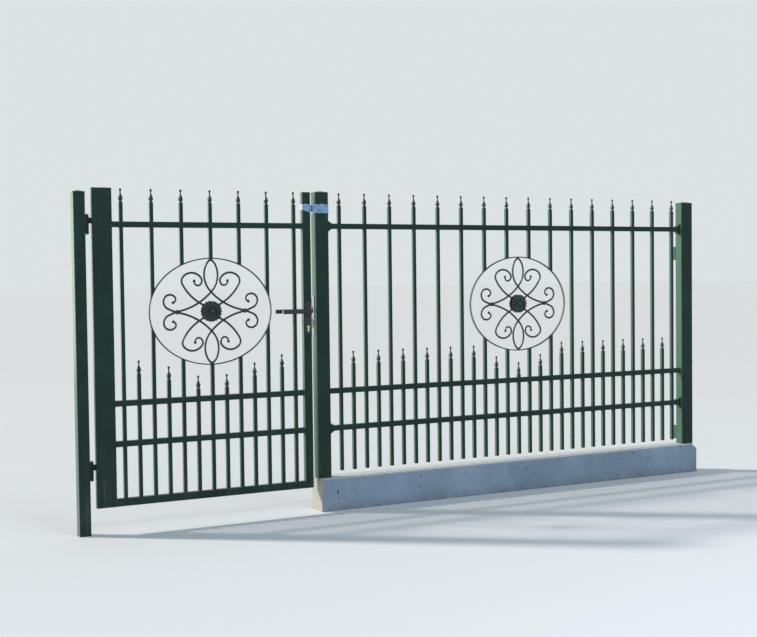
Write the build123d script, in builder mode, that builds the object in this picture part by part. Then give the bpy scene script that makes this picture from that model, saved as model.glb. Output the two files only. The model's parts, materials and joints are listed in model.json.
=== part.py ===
from build123d import *
import os
from math import sqrt

# Metal garden gate between its two posts, with the bay of matching fence beside it.
# +X runs along the fence, to the right as seen from the street, +Y goes from the
# street into the garden, and +Z is up. The origin is on the underside of the plinth,
# below the middle of the latch post. All sizes are in millimetres.

# Square bars and tubes
picket = 20.0
fence_pitch = 80.0
leaf_pitch = 80.4
picket_fit = 0.25
picket_corner = 2.5
rail_depth = 30.0
rail_height = 30.0
rail_wall = 2.0
rail_corner = 3.0
seat_gap = 0.3

# Heights above the ground
plinth_height = 184.0
leaf_bottom = 133.0
lower_rail_bottom = 440.0
middle_rail_bottom = 649.0
stile_top = 1768.0
top_rail_drop = 198.0
picket_above_rail = 100.0
fence_picket_bottom = 213.0
ring_centre_height = 1127.0
lever_height = 1114.0
lever_to_cylinder = 86.0
lower_hinge_height = 324.0

# Fence bay
latch_post_width = 80.0
end_post_width = 90.0
post_depth = 60.0
post_wall = 3.0
post_corner = 4.5
latch_post_drop = 2.0
end_post_drop = 15.0
fence_spaces = 30
post_to_picket = 78.0
picket_to_end_post = 61.0
plinth_depth = 140.0
plinth_chamfer = 8.0
left_chip_depth = 34.0
left_chip_width = 6.0
left_chip_bottom = 92.0
right_chip_width = 42.0
right_chip_height = 30.0
gusset_length = 30.0
gusset_rise = 24.0
gusset_sag = 2.5
catch_height = 80.0
catch_width = 22.0
catch_reach = 16.0
catch_middle = 713.0

# Gate leaf
latch_gap = 23.0
latch_stile_width = 48.0
hinge_stile_width = 104.0
stile_depth = 30.0
stile_wall = 2.0
stile_corner = 3.0
leaf_spaces = 12
stile_to_picket = 49.0
bottom_rail_height = 40.0
hinge_gap = 36.0
hinge_post_width = 60.0
hinge_post_drop = 23.0

# Caps
cap_lip = 2.0
cap_skirt = 5.0
cap_rise = 7.0
cap_top_share = 0.25
stile_cap = 3.0

# Short pickets beside the ring: height of the square end above the middle rail
leaf_short_rise = 133.0
fence_short_rise = 135.0

# Gap between the ring and the tip of each short picket that stands below it
leaf_outer_gap = 79.0
leaf_inner_gap = 61.0
fence_middle_gap = 70.0
fence_beside_gap = 60.0

# Finial, from the square end of its picket upwards
finial_waist_radius = 7.5
finial_waist_height = 8.0
finial_bulge_radius = 12.5
finial_bulge_height = 20.0
finial_taper_radius = 5.5
finial_taper_height = 40.0
finial_neck_radius = 4.5
finial_neck_height = 57.0
finial_ball_radius = 7.0
finial_height = 71.0

# Oval rings and their scrollwork
ring_half_width = 344.0
ring_half_height = 285.0
ring_thickness = 6.0
ring_depth = 12.0
scroll_width = 12.0
scroll_depth = 12.0
rosette_radius = 50.0
rosette_petals = 16
petal_radius = 6.0
rosette_plate = 4.0
dome_radius = 44.0
dome_height = 18.0

# Scroll bars, arc by arc: from the top of the oval to a small side scroll, and from
# under the rosette to a large curled lobe
petal_radii = [17.0, 83.0, 126.0, 330.0, 354.0, 44.0, 35.5, 18.5]
petal_turns = [-47.0, -21.0, -63.0, -36.0, 12.0, 61.0, 141.0, 120.0]
lobe_radii = [457.0, 255.0, 34.5, 63.5, 27.5, 20.5]
lobe_turns = [7.6, -32.0, -71.0, -101.0, -79.0, -147.0]
lobe_start_x = -12.0
lobe_start_z = 11.0
lobe_heading = 142.0

# Hinges
barrel_radius = 9.0
barrel_height = 100.0
barrel_split = 0.5
barrel_rounding = 5.4
pin_radius = 5.0
pin_fit = 0.1
pin_length = 38.0
hinge_axis_y = 10.0
lug_height = 30.0
lug_thickness = 8.0
lug_offset = 4.0

# Lock
plate_width = 40.0
plate_height = 186.0
plate_thickness = 4.0
plate_below_cylinder = 44.0
strike_below_cylinder = 49.0
strike_height = 219.0
strike_width = 30.0
strike_middle_y = 12.0
faceplate_width = 24.0
strike_thickness = 3.0
cylinder_radius = 9.0
cylinder_leg_width = 10.0
cylinder_length_below = 25.0
cylinder_reach = 4.0
cylinder_fit = 0.25
spindle_side = 8.0
spindle_hole_radius = 6.5
hub_radius = 10.0
hub_fit = 0.1
neck_radius = 7.0
lever_stand_off = 39.0
lever_length = 165.0
lever_grip_height = 23.0
lever_grip_depth = 11.0
lever_rounding = 5.0
spindle_socket = 20.0

# Tape wound round the top of the latch stile and of the latch post
tape_drop = 113.0
tape_height = 52.0
tape_thickness = 0.8

# Heights that follow from these
top_rail_bottom = stile_top - top_rail_drop
picket_end = top_rail_bottom + rail_height + picket_above_rail
upper_hinge_height = top_rail_bottom + rail_height / 2
tape_bottom = stile_top - tape_drop
latch_post_top = stile_top - latch_post_drop
end_post_top = latch_post_top - end_post_drop
hinge_post_top = latch_post_top - hinge_post_drop
middle_rail_top = middle_rail_bottom + rail_height
cylinder_height = lever_height - lever_to_cylinder
plate_middle_height = cylinder_height - plate_below_cylinder + plate_height / 2
strike_bottom = cylinder_height - strike_below_cylinder

# Places along the fence
latch_post_left = -latch_post_width / 2
latch_post_right = latch_post_width / 2
fence_first_picket = latch_post_right + post_to_picket
fence_last_picket = fence_first_picket + fence_spaces * fence_pitch
end_post_left = fence_last_picket + picket_to_end_post
end_post_right = end_post_left + end_post_width
fence_ring_x = (fence_first_picket + fence_last_picket) / 2
latch_stile_right = latch_post_left - latch_gap
latch_stile_left = latch_stile_right - latch_stile_width
latch_stile_x = (latch_stile_left + latch_stile_right) / 2
leaf_last_picket = latch_stile_left - stile_to_picket
leaf_first_picket = leaf_last_picket - leaf_spaces * leaf_pitch
hinge_stile_right = leaf_first_picket - stile_to_picket
hinge_stile_left = hinge_stile_right - hinge_stile_width
hinge_post_right = hinge_stile_left - hinge_gap
hinge_post_left = hinge_post_right - hinge_post_width
leaf_ring_x = (leaf_first_picket + leaf_last_picket) / 2
hinge_axis_x = (hinge_post_right + hinge_stile_left) / 2
picket_hole = picket + 2 * picket_fit
dome_curve = (dome_radius**2 + dome_height**2) / (2 * dome_height)

os.makedirs("parts", exist_ok=True)


def finish(piece, name):
    piece.part.label = name
    export_step(piece.part, f"parts/{name}.step")


def upright_tube(left, right, depth, bottom, top, wall, corner):
    """Square tube that stands on its end, open below and above."""
    width = right - left
    with BuildPart() as tube:
        with BuildSketch(Plane.XY.offset(bottom)):
            with Locations(((left + right) / 2, 0)):
                RectangleRounded(width, depth, corner)
                RectangleRounded(width - 2 * wall, depth - 2 * wall, corner - wall, mode=Mode.SUBTRACT)
        extrude(amount=top - bottom)
    return tube


def cap(left, right, bottom):
    """Low pyramid on a square skirt that overhangs the post a little."""
    middle = (left + right) / 2
    width = right - left + 2 * cap_lip
    depth = post_depth + 2 * cap_lip
    corner = post_corner + cap_lip
    with BuildPart() as lid:
        with BuildSketch(Plane.XY.offset(bottom)):
            with Locations((middle, 0)):
                RectangleRounded(width, depth, corner)
        extrude(amount=cap_skirt)
        with BuildSketch(Plane.XY.offset(bottom + cap_skirt)):
            with Locations((middle, 0)):
                RectangleRounded(width, depth, corner)
        with BuildSketch(Plane.XY.offset(bottom + cap_skirt + cap_rise)):
            with Locations((middle, 0)):
                RectangleRounded(width * cap_top_share, depth * cap_top_share, corner * cap_top_share)
        loft()
    return lid


def rail(left, right, bottom, height, pickets):
    """Rail tube with a hole for each picket that passes through it."""
    start = Plane((left, 0, bottom + height / 2), x_dir=(0, 1, 0), z_dir=(1, 0, 0))
    with BuildPart() as tube:
        with BuildSketch(start):
            RectangleRounded(rail_depth, height, rail_corner)
            RectangleRounded(
                rail_depth - 2 * rail_wall,
                height - 2 * rail_wall,
                rail_corner - rail_wall,
                mode=Mode.SUBTRACT,
            )
        extrude(amount=right - left)
        if pickets:
            with BuildSketch(Plane.XY.offset(bottom)):
                with Locations(*[(x, 0) for x in pickets]):
                    RectangleRounded(picket_hole, picket_hole, picket_corner + picket_fit)
            extrude(amount=height, mode=Mode.SUBTRACT)
    return tube


def bars(ends, ring_x):
    """Pickets from (x, bottom, top) triples, cut away where the oval ring passes."""
    with BuildPart() as pickets:
        for low, high in sorted({(bottom, top) for x, bottom, top in ends}):
            with BuildSketch(Plane.XY.offset(low)):
                with Locations(*[(x, 0) for x, bottom, top in ends if (bottom, top) == (low, high)]):
                    RectangleRounded(picket, picket, picket_corner)
            extrude(amount=high - low)
        with BuildSketch(Plane.XZ):
            with Locations((ring_x, ring_centre_height)):
                Ellipse(ring_half_width + picket_fit, ring_half_height + picket_fit)
        extrude(amount=picket, both=True, mode=Mode.SUBTRACT)
    return pickets


def finials(ends):
    """One turned finial on top of each picket."""
    with BuildPart() as group:
        with Locations(*[(x, 0, top) for x, bottom, top in ends]):
            add(finial.part)
    return group


def oval_ring(centre_x):
    with BuildPart() as ring:
        with BuildSketch(Plane.XZ):
            with Locations((centre_x, ring_centre_height)):
                Ellipse(ring_half_width, ring_half_height)
                Ellipse(
                    ring_half_width - ring_thickness,
                    ring_half_height - ring_thickness,
                    mode=Mode.SUBTRACT,
                )
        extrude(amount=ring_depth / 2, both=True)
    return ring


def below_ring(across, gap):
    """Square end of a short picket whose finial stays that far below the ring."""
    ring_drop = ring_half_height * sqrt(1 - (across / ring_half_width) ** 2)
    return ring_centre_height - ring_drop - gap - finial_height


def strand(start, heading, radii, turns):
    """Middle line of a scroll bar, each arc carrying on from the last."""
    point = start
    direction = Vector(1, 0).rotate(Axis.Z, heading)
    for radius, turn in zip(radii, turns):
        arc = JernArc(start=point, tangent=direction, radius=radius, arc_size=turn)
        point = arc @ 1
        direction = arc % 1


def scrollwork(centre_x):
    """Scrolls of square bar, the same in all four quarters of the oval."""
    apex = ring_half_height - ring_thickness - scroll_width / 2 - seat_gap
    with BuildPart() as scrolls:
        with BuildSketch(Plane.XZ.offset(-scroll_depth / 2)):
            with BuildLine():
                strand((0, apex), 0, petal_radii, petal_turns)
            trace(line_width=scroll_width)
            with BuildLine():
                strand((lobe_start_x, lobe_start_z), lobe_heading, lobe_radii, lobe_turns)
            trace(line_width=scroll_width)
            mirror(about=Plane.YZ)
            mirror(about=Plane.XZ)
        extrude(amount=scroll_depth)
    with BuildPart() as placed:
        with Locations((centre_x, 0, ring_centre_height)):
            add(scrolls.part)
    return placed


def rosettes(centre_x):
    """A cast rosette on the front and on the back of the crossing scrolls."""
    with BuildPart() as pair:
        for side in (-1, 1):
            origin = (centre_x, side * scroll_depth / 2, ring_centre_height)
            with Locations(Plane(origin, x_dir=(1, 0, 0), z_dir=(0, side, 0))):
                add(rosette.part)
    return pair


def hinge_pin_half(height):
    """Lower half of a hinge: barrel with its pin and the lug that joins it to the post."""
    low = height - barrel_height / 2
    with BuildPart() as half:
        with Locations((hinge_axis_x, hinge_axis_y, low)):
            upright = (Align.CENTER, Align.CENTER, Align.MIN)
            Cylinder(barrel_radius, barrel_height / 2 - barrel_split / 2, align=upright)
            Cylinder(pin_radius, barrel_height / 2 + pin_length, align=upright)
        fillet(half.edges().group_by(Axis.Z)[0], barrel_rounding)
        lug_reach = hinge_axis_x - hinge_post_right
        with Locations((hinge_post_right, hinge_axis_y, height - lug_offset)):
            Box(lug_reach, lug_thickness, lug_height, align=(Align.MIN, Align.CENTER, Align.MAX))
    return half


def hinge_socket_half(height):
    """Upper half of a hinge: barrel bored for the pin and the lug that joins it to the leaf."""
    with BuildPart() as half:
        with Locations((hinge_axis_x, hinge_axis_y, height + barrel_split / 2)):
            upright = (Align.CENTER, Align.CENTER, Align.MIN)
            Cylinder(barrel_radius, barrel_height / 2 - barrel_split / 2, align=upright)
        fillet(half.edges().group_by(Axis.Z)[-1], barrel_rounding)
        lug_reach = hinge_stile_left - hinge_axis_x
        with Locations((hinge_stile_left, hinge_axis_y, height + lug_offset)):
            Box(lug_reach, lug_thickness, lug_height, align=(Align.MAX, Align.CENTER, Align.MIN))
        with Locations((hinge_axis_x, hinge_axis_y, height)):
            Cylinder(
                pin_radius + pin_fit,
                pin_length + seat_gap,
                align=(Align.CENTER, Align.CENTER, Align.MIN),
                mode=Mode.SUBTRACT,
            )
    return half


def cylinder_outline(fit):
    """Keyhole outline of the lock cylinder, drawn round the middle of its plug."""
    Circle(cylinder_radius + fit)
    with Locations((0, -cylinder_length_below / 2)):
        Rectangle(cylinder_leg_width + 2 * fit, cylinder_length_below + 2 * fit)


def lock_plate(side):
    """Long plate on one face of the latch stile, side -1 on the street, 1 in the garden."""
    face = side * stile_depth / 2
    plane = Plane(origin=(latch_stile_x, face, 0), x_dir=(1, 0, 0), z_dir=(0, -1, 0))
    with BuildPart() as plate:
        with BuildSketch(plane):
            with Locations((0, plate_middle_height)):
                SlotOverall(plate_height, plate_width, rotation=90)
            with Locations((0, lever_height)):
                Circle(hub_radius + hub_fit, mode=Mode.SUBTRACT)
        extrude(amount=-side * plate_thickness)
        with BuildSketch(Plane((latch_stile_x, face, cylinder_height), x_dir=(1, 0, 0), z_dir=(0, -1, 0))):
            cylinder_outline(cylinder_fit)
        extrude(amount=-side * plate_thickness, mode=Mode.SUBTRACT)
    return plate


def lever(side):
    """Lever handle on one face of the leaf: hub, neck and a grip that points to the hinges."""
    root = side * (stile_depth / 2 + seat_gap)
    plane = Plane(origin=(latch_stile_x, root, lever_height), x_dir=(1, 0, 0), z_dir=(0, side, 0))
    grip_middle = root + side * lever_stand_off
    with BuildPart() as handle:
        with BuildSketch(plane):
            Circle(hub_radius)
        extrude(amount=plate_thickness + 2 * seat_gap)
        with BuildSketch(plane):
            Circle(neck_radius)
        extrude(amount=lever_stand_off)
        grip_start = (latch_stile_x + lever_grip_height / 2, grip_middle, lever_height)
        with BuildSketch(Plane(grip_start, x_dir=(0, 1, 0), z_dir=(-1, 0, 0))):
            RectangleRounded(lever_grip_depth, lever_grip_height, lever_rounding)
        extrude(amount=lever_length + lever_grip_height / 2)
        with BuildSketch(plane):
            Rectangle(spindle_side + 2 * hub_fit, spindle_side + 2 * hub_fit)
        extrude(amount=spindle_socket, mode=Mode.SUBTRACT)
    return handle


def tape_band(left, right, depth, corner):
    """Band of tape wound tight round a tube."""
    with BuildPart() as band:
        with BuildSketch(Plane.XY.offset(tape_bottom)):
            with Locations(((left + right) / 2, 0)):
                RectangleRounded(
                    right - left + 2 * tape_thickness,
                    depth + 2 * tape_thickness,
                    corner + tape_thickness,
                )
                RectangleRounded(right - left, depth, corner, mode=Mode.SUBTRACT)
        extrude(amount=tape_height)
    return band


# Finial, turned about the middle of its picket
with BuildPart() as finial:
    with BuildSketch(Plane.XZ):
        with BuildLine():
            Line((0, 0), (picket / 2, 0))
            Line((picket / 2, 0), (finial_waist_radius, finial_waist_height))
            Spline(
                (finial_waist_radius, finial_waist_height),
                (finial_bulge_radius, finial_bulge_height),
                (finial_taper_radius, finial_taper_height),
                (finial_neck_radius, finial_neck_height),
            )
            ball_centre = finial_height - finial_ball_radius
            Line((finial_neck_radius, finial_neck_height), (finial_neck_radius, ball_centre))
            Line((finial_neck_radius, ball_centre), (finial_ball_radius, ball_centre))
            RadiusArc((finial_ball_radius, ball_centre), (0, finial_height), -finial_ball_radius)
            Line((0, finial_height), (0, 0))
        make_face()
    revolve(axis=Axis.Z)
    with Locations((0, 0, ball_centre)):
        Sphere(finial_ball_radius)

# Rosette, with its axis along +Z and its flat back at the origin
with BuildPart() as rosette:
    with BuildSketch():
        Circle(rosette_radius)
        with PolarLocations(rosette_radius, rosette_petals):
            Circle(petal_radius)
    extrude(amount=rosette_plate)
    with BuildSketch(Plane.XZ):
        with BuildLine():
            Line((0, 0), (dome_radius, 0))
            Line((dome_radius, 0), (dome_radius, rosette_plate))
            RadiusArc((dome_radius, rosette_plate), (0, rosette_plate + dome_height), -dome_curve)
            Line((0, rosette_plate + dome_height), (0, 0))
        make_face()
    revolve(axis=Axis.Z)

# Plinth under the fence bay, chipped at its two front corners
with BuildPart() as plinth:
    plinth_left = latch_post_left
    plinth_right = end_post_right
    plinth_front = -plinth_depth / 2
    with Locations(((plinth_left + plinth_right) / 2, 0, 0)):
        Box(
            plinth_right - plinth_left,
            plinth_depth,
            plinth_height,
            align=(Align.CENTER, Align.CENTER, Align.MIN),
        )
    chamfer(plinth.edges().group_by(Axis.Z)[-1].filter_by(Axis.X), plinth_chamfer)
    with BuildSketch(Plane.XY.offset(left_chip_bottom)):
        with BuildLine():
            Polyline(
                (plinth_left, plinth_front),
                (plinth_left + left_chip_width, plinth_front),
                (plinth_left, plinth_front + left_chip_depth),
                close=True,
            )
        make_face()
    extrude(amount=plinth_height, mode=Mode.SUBTRACT)
    with BuildSketch(Plane.XZ.offset(-plinth_front)):
        with BuildLine():
            Polyline(
                (plinth_right, plinth_height),
                (plinth_right - right_chip_width, plinth_height),
                (plinth_right, plinth_height - right_chip_height),
                close=True,
            )
        make_face()
    extrude(amount=-(plinth_depth - post_depth) / 2, mode=Mode.SUBTRACT)
finish(plinth, "plinth")

# Posts and their caps
latch_post = upright_tube(
    latch_post_left, latch_post_right, post_depth, plinth_height, latch_post_top, post_wall, post_corner
)
finish(latch_post, "latch_post")
finish(cap(latch_post_left, latch_post_right, latch_post_top), "latch_post_cap")

end_post = upright_tube(
    end_post_left, end_post_right, post_depth, plinth_height, end_post_top, post_wall, post_corner
)
finish(end_post, "end_post")
finish(cap(end_post_left, end_post_right, end_post_top), "end_post_cap")

hinge_post = upright_tube(
    hinge_post_left, hinge_post_right, post_depth, 0, hinge_post_top, post_wall, post_corner
)
finish(hinge_post, "hinge_post")
finish(cap(hinge_post_left, hinge_post_right, hinge_post_top), "hinge_post_cap")

# Fence bay: rails, pickets, finials, ring and scrolls
fence_xs = [fence_first_picket + step * fence_pitch for step in range(fence_spaces + 1)]
fence_tall_xs = fence_xs[0::2]
fence_short_xs = fence_xs[1::2]
fence_left = latch_post_right
fence_right = end_post_left
finish(rail(fence_left, fence_right, lower_rail_bottom, rail_height, fence_xs), "fence_lower_rail")
finish(rail(fence_left, fence_right, middle_rail_bottom, rail_height, fence_xs), "fence_middle_rail")
finish(rail(fence_left, fence_right, top_rail_bottom, rail_height, fence_tall_xs), "fence_top_rail")

fence_short_tops = [middle_rail_top + fence_short_rise] * len(fence_short_xs)
middle_short = len(fence_short_xs) // 2
fence_short_tops[middle_short - 1] = below_ring(2 * fence_pitch, fence_beside_gap)
fence_short_tops[middle_short] = below_ring(0, fence_middle_gap)
fence_short_tops[middle_short + 1] = below_ring(2 * fence_pitch, fence_beside_gap)
fence_tall_ends = [(x, fence_picket_bottom, picket_end) for x in fence_tall_xs]
fence_short_ends = [(x, fence_picket_bottom, top) for x, top in zip(fence_short_xs, fence_short_tops)]
finish(bars(fence_tall_ends, fence_ring_x), "fence_tall_pickets")
finish(bars(fence_short_ends, fence_ring_x), "fence_short_pickets")
finish(finials(fence_tall_ends + fence_short_ends), "fence_finials")
finish(oval_ring(fence_ring_x), "fence_ring")
finish(scrollwork(fence_ring_x), "fence_scrolls")
finish(rosettes(fence_ring_x), "fence_rosettes")

# Curved gussets above and below the top and lower rails at both posts
with BuildPart() as rail_gussets:
    with BuildSketch(Plane.XZ):
        for corner_x, across in ((fence_left, 1), (fence_right, -1)):
            for bottom in (lower_rail_bottom, top_rail_bottom):
                for corner_z, up in ((bottom, -1), (bottom + rail_height, 1)):
                    tip = (corner_x + across * gusset_length, corner_z)
                    heel = (corner_x, corner_z + up * gusset_rise)
                    sag = (
                        corner_x + across * (gusset_length / 2 - gusset_sag),
                        corner_z + up * (gusset_rise / 2 - gusset_sag),
                    )
                    with BuildLine():
                        Line((corner_x, corner_z), tip)
                        ThreePointArc(tip, sag, heel)
                        Line(heel, (corner_x, corner_z))
                    make_face()
    extrude(amount=rail_depth / 2, both=True)
finish(rail_gussets, "rail_gussets")

# Rounded catch on the outer side of the end post
with BuildPart() as end_post_catch:
    with BuildSketch(Plane.XZ):
        with BuildLine():
            catch_low = (end_post_right, catch_middle - catch_height / 2)
            catch_high = (end_post_right, catch_middle + catch_height / 2)
            Line(catch_low, catch_high)
            ThreePointArc(catch_low, (end_post_right + catch_reach, catch_middle), catch_high)
        make_face()
    extrude(amount=catch_width / 2, both=True)
finish(end_post_catch, "end_post_catch")

# Leaf frame
hinge_stile = upright_tube(
    hinge_stile_left, hinge_stile_right, stile_depth, leaf_bottom, stile_top, stile_wall, stile_corner
)
finish(hinge_stile, "hinge_stile")

with BuildPart() as latch_stile:
    tube = upright_tube(
        latch_stile_left, latch_stile_right, stile_depth, leaf_bottom, stile_top, stile_wall, stile_corner
    )
    add(tube.part)
    with BuildSketch(Plane(origin=(latch_stile_x, 0, lever_height), x_dir=(1, 0, 0), z_dir=(0, -1, 0))):
        Circle(spindle_hole_radius)
    extrude(amount=stile_depth, both=True, mode=Mode.SUBTRACT)
    with BuildSketch(Plane(origin=(latch_stile_x, 0, cylinder_height), x_dir=(1, 0, 0), z_dir=(0, -1, 0))):
        cylinder_outline(cylinder_fit)
    extrude(amount=stile_depth, both=True, mode=Mode.SUBTRACT)
finish(latch_stile, "latch_stile")

with BuildPart() as stile_caps:
    with BuildSketch(Plane.XY.offset(stile_top)):
        for left, right in ((hinge_stile_left, hinge_stile_right), (latch_stile_left, latch_stile_right)):
            with Locations(((left + right) / 2, 0)):
                RectangleRounded(right - left, stile_depth, stile_corner)
    extrude(amount=stile_cap)
finish(stile_caps, "stile_caps")

leaf_xs = [leaf_first_picket + step * leaf_pitch for step in range(leaf_spaces + 1)]
leaf_tall_xs = leaf_xs[0::2]
leaf_short_xs = leaf_xs[1::2]
leaf_left = hinge_stile_right
leaf_right = latch_stile_left
finish(rail(leaf_left, leaf_right, leaf_bottom, bottom_rail_height, []), "leaf_bottom_rail")
finish(rail(leaf_left, leaf_right, lower_rail_bottom, rail_height, leaf_xs), "leaf_lower_rail")
finish(rail(leaf_left, leaf_right, middle_rail_bottom, rail_height, leaf_xs), "leaf_middle_rail")
finish(rail(leaf_left, leaf_right, top_rail_bottom, rail_height, leaf_tall_xs), "leaf_top_rail")

leaf_picket_bottom = leaf_bottom + bottom_rail_height
leaf_half_tops = [
    middle_rail_top + leaf_short_rise,
    below_ring(3 * leaf_pitch, leaf_outer_gap),
    below_ring(leaf_pitch, leaf_inner_gap),
]
leaf_short_tops = leaf_half_tops + leaf_half_tops[::-1]
leaf_tall_ends = [(x, leaf_picket_bottom, picket_end) for x in leaf_tall_xs]
leaf_short_ends = [(x, leaf_picket_bottom, top) for x, top in zip(leaf_short_xs, leaf_short_tops)]
finish(bars(leaf_tall_ends, leaf_ring_x), "leaf_tall_pickets")
finish(bars(leaf_short_ends, leaf_ring_x), "leaf_short_pickets")
finish(finials(leaf_tall_ends + leaf_short_ends), "leaf_finials")
finish(oval_ring(leaf_ring_x), "leaf_ring")
finish(scrollwork(leaf_ring_x), "leaf_scrolls")
finish(rosettes(leaf_ring_x), "leaf_rosettes")

# Hinges
finish(hinge_pin_half(upper_hinge_height), "upper_hinge_pin")
finish(hinge_pin_half(lower_hinge_height), "lower_hinge_pin")
finish(hinge_socket_half(upper_hinge_height), "upper_hinge_socket")
finish(hinge_socket_half(lower_hinge_height), "lower_hinge_socket")

# Lock: plates, cylinder, faceplate in the edge of the stile and strike on the post
finish(lock_plate(-1), "front_lock_plate")
finish(lock_plate(1), "back_lock_plate")

with BuildPart() as lock_cylinder:
    with BuildSketch(Plane(origin=(latch_stile_x, 0, cylinder_height), x_dir=(1, 0, 0), z_dir=(0, -1, 0))):
        cylinder_outline(0)
    extrude(amount=stile_depth / 2 + plate_thickness + cylinder_reach, both=True)
finish(lock_cylinder, "lock_cylinder")

with BuildPart() as lock_faceplate:
    with Locations((latch_stile_right, 0, strike_bottom)):
        Box(
            strike_thickness,
            faceplate_width,
            strike_height,
            align=(Align.MIN, Align.CENTER, Align.MIN),
        )
finish(lock_faceplate, "lock_faceplate")

with BuildPart() as strike_plate:
    with Locations((latch_post_left, strike_middle_y, strike_bottom)):
        Box(
            strike_thickness,
            strike_width,
            strike_height,
            align=(Align.MAX, Align.CENTER, Align.MIN),
        )
finish(strike_plate, "strike_plate")

# Levers and the square spindle that joins them
finish(lever(-1), "front_lever")
finish(lever(1), "back_lever")
with BuildPart() as spindle:
    with Locations((latch_stile_x, 0, lever_height)):
        Box(spindle_side, stile_depth + 2 * spindle_socket, spindle_side)
finish(spindle, "spindle")

# Tape
finish(tape_band(latch_stile_left, latch_stile_right, stile_depth, stile_corner), "tape_on_stile")
finish(tape_band(latch_post_left, latch_post_right, post_depth, post_corner), "tape_on_post")
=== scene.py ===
import json
from math import atan2, cos, pi, radians, sin, sqrt

import bpy
from mathutils import Matrix, Vector, noise


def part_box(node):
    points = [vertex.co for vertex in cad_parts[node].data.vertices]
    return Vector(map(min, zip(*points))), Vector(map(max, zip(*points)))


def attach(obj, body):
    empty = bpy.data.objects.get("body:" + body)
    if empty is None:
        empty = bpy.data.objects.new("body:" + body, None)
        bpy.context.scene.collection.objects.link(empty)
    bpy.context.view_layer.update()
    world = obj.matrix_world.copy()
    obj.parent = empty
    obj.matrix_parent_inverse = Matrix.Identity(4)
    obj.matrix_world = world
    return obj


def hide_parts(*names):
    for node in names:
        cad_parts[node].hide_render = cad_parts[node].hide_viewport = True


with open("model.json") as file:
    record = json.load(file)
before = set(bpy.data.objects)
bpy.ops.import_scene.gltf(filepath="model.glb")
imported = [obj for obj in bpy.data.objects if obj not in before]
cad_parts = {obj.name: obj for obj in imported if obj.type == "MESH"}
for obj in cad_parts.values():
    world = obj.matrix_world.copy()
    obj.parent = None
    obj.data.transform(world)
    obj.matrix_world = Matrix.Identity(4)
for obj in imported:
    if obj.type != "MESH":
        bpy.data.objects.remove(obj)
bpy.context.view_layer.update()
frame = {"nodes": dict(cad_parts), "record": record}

# Dress of a metal garden gate with its fence bay. All lengths are in metres, +X runs
# along the fence, +Y from its front to its back and +Z up.
nodes = frame["nodes"]

# Camera, as fitted to the rails and pickets
camera_place = Vector((-2.8684, -6.1916, 1.3058))
camera_lens = 58.195
camera_yaw = radians(27.55)
camera_pitch = radians(2.0)
camera_roll = radians(-0.68)

# Scroll bars: radius and turn of each arc, as in the solid that they stand for
bar_radius = 0.006
petal_radii = [0.017, 0.083, 0.126, 0.330, 0.354, 0.044, 0.0355, 0.0185]
petal_turns = [-47, -21, -63, -36, 12, 61, 141, 120]
lobe_radii = [0.457, 0.255, 0.0345, 0.0635, 0.0275, 0.0205]
lobe_turns = [7.6, -32, -71, -101, -79, -147]
lobe_start = (-0.012, 0.011)
lobe_heading = 142
arc_step = 0.004
scroll_ball = 0.0082
ball_flatness = (1.0, 0.72, 1.0)
taper_steps = 18
collar_size = (0.011, 0.0176, 0.025)
crossing_weld = 0.0095
tip_weld = 0.0052

# Cast rosettes, as shares of their reach: petals end at the rim, then rings inwards
petal_count = 22
flower_rings = 30
outer_petals_from = 0.60
inner_petals_from = 0.30
button_edge = 0.20

# Where pickets end on the rings, from the middle of each ring
ring_half_width = 0.344
ring_half_height = 0.285
ring_face = 0.0062
leaf_seats = (-0.3216, -0.1608, 0.0, 0.1608, 0.3216)
fence_seats = (-0.24, -0.08, 0.08, 0.24)
ring_bead = 0.0021

# Lock, with the latch's height taken from the strike plate's top and the bolt's from its foot
plate_screw_inset = 0.012
strike_screw_inset = 0.014
latch_below_top = 0.075
bolt_above_foot = 0.062
key_plug_radius = 0.0062
key_plug_below_top = 0.009
key_slot_half = 0.0042

# Hinges
barrel_radius = 0.009
washer_radius = 0.0084
hinge_plug_radius = 0.0076
lug_half_width = 0.0048

# Brackets behind the end post: their heights, the size of a plate, and the radius and
# height of an eye at each step from its foot up
bracket_heights = (0.255, 1.43)
bracket_plate = (0.008, 0.023, 0.088)
eye_profile = [
    (0.0066, 0.0), (0.0078, 0.0012), (0.0078, 0.0275), (0.0070, 0.0290), (0.0098, 0.0300),
    (0.0103, 0.0320), (0.0103, 0.0560), (0.0098, 0.0580), (0.0070, 0.0590), (0.0078, 0.0605),
    (0.0078, 0.0868), (0.0066, 0.0880), (0.0030, 0.0884),
]

# Tape, with a slant to its lower edge and a wave to its upper one
tape_thickness = 0.0005
tape_columns = 160
tape_rows = 12
tape_corner = 0.0042
tape_margin = 0.0012
tape_slant = 0.018
tape_wave = 0.0015

# Worn faces of the plinth
plinth_grid = 0.0055
plinth_skin = 0.0012
dents_per_metre = 13.0
dent_radius = 0.010
dent_depth = 0.0035

# Colours that finishes share, as linear red, green and blue
dry_dust = (0.23, 0.23, 0.20)
rust_brown = (0.16, 0.085, 0.05)
paint_sheen = (0.84, 1.0, 0.90, 1)

# Sockets of a Mix node that is set to colours
mix_share, mix_first, mix_second, mix_result = 0, 6, 7, 2


def deselect_all():
    for piece in bpy.context.selected_objects:
        piece.select_set(False)


def only(piece):
    """Makes a piece the only selected and the active one."""
    deselect_all()
    piece.select_set(True)
    bpy.context.view_layer.objects.active = piece


def newest():
    """The piece that an operator has just made."""
    return bpy.context.view_layer.objects.active


def shape(piece, pick="VERT"):
    """Opens a piece for shaping, with all of it selected."""
    only(piece)
    bpy.ops.object.mode_set(mode="EDIT")
    bpy.ops.mesh.select_mode(type=pick)
    bpy.ops.mesh.select_all(action="SELECT")


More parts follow.
